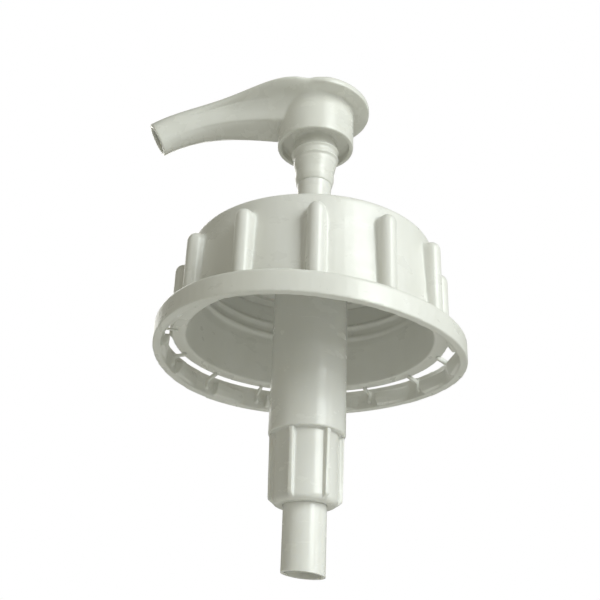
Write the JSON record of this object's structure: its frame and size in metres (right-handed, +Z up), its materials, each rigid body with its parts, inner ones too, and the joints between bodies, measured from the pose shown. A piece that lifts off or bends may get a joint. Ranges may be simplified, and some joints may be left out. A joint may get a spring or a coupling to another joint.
{
  "type": "condiment pump dispenser",
  "caption": "Press-head pump on a ribbed wide-mouth jar cap with a tamper band, drooping spout, pump cylinder, foot valve and dip tube.",
  "frame": {"origin": "centre of the cap liner's underside, the plane on which the jar's rim seals", "axes": "+Z up the pump axis from the dip tube to the press head; -X towards the spout; +Y completes the right-handed frame"},
  "size_m": [0.1322, 0.12, 0.2024],
  "materials": {
    "cap_plastic": "moulded white polypropylene, satin gloss",
    "head_plastic": "moulded white polypropylene, glossy",
    "housing_plastic": "natural white polypropylene, glossy and slightly milky",
    "liner_foam": "foamed polyethylene sheet",
    "seal_rubber": "food-grade elastomer",
    "soft_seal": "soft polyethylene",
    "ball_steel": "polished stainless steel",
    "spring_steel": "drawn stainless steel wire"
  },
  "bodies": {
    "closure": {"closure_cap": "cap_plastic", "tamper_band": "cap_plastic", "cap_liner": "liner_foam"},
    "pump_body": {"pump_housing": "housing_plastic", "flange_gasket": "seal_rubber", "lock_collar": "head_plastic", "stem_guide": "housing_plastic", "stem_wiper": "soft_seal", "foot_valve_body": "housing_plastic", "foot_seal_ring": "seal_rubber", "ball_cage": "housing_plastic", "dip_tube": "housing_plastic"},
    "piston": {"piston_seal": "soft_seal", "return_spring": "spring_steel"},
    "plunger": {"stem": "housing_plastic", "actuator_head": "head_plastic", "piston_carrier": "housing_plastic", "outlet_ball_stop": "housing_plastic"},
    "inlet_ball": {"inlet_ball": "ball_steel"},
    "outlet_ball": {"outlet_ball": "ball_steel"}
  },
  "joints": [
    {"name": "pump_spin", "type": "hinge", "parent": "closure", "child": "pump_body", "pos_m": [0, 0, 0], "axis": [0, 0, 1], "continuous": true},
    {"name": "pump_stroke", "type": "slide", "parent": "pump_body", "child": "piston", "axis": [0, 0, -1], "range_m": [0, 0.03], "stiffness_N_per_m": 600, "springref_m": -0.02, "deforming": ["return_spring"]},
    {"name": "head_swivel", "type": "hinge", "parent": "piston", "child": "plunger", "pos_m": [0, 0, 0], "axis": [0, 0, 1], "continuous": true},
    {"name": "inlet_ball_lift", "type": "slide", "parent": "pump_body", "child": "inlet_ball", "axis": [0, 0, 1], "range_m": [0, 0.004]},
    {"name": "outlet_ball_lift", "type": "slide", "parent": "plunger", "child": "outlet_ball", "axis": [0, 0, 1], "range_m": [0, 0.0035]}
  ]
}
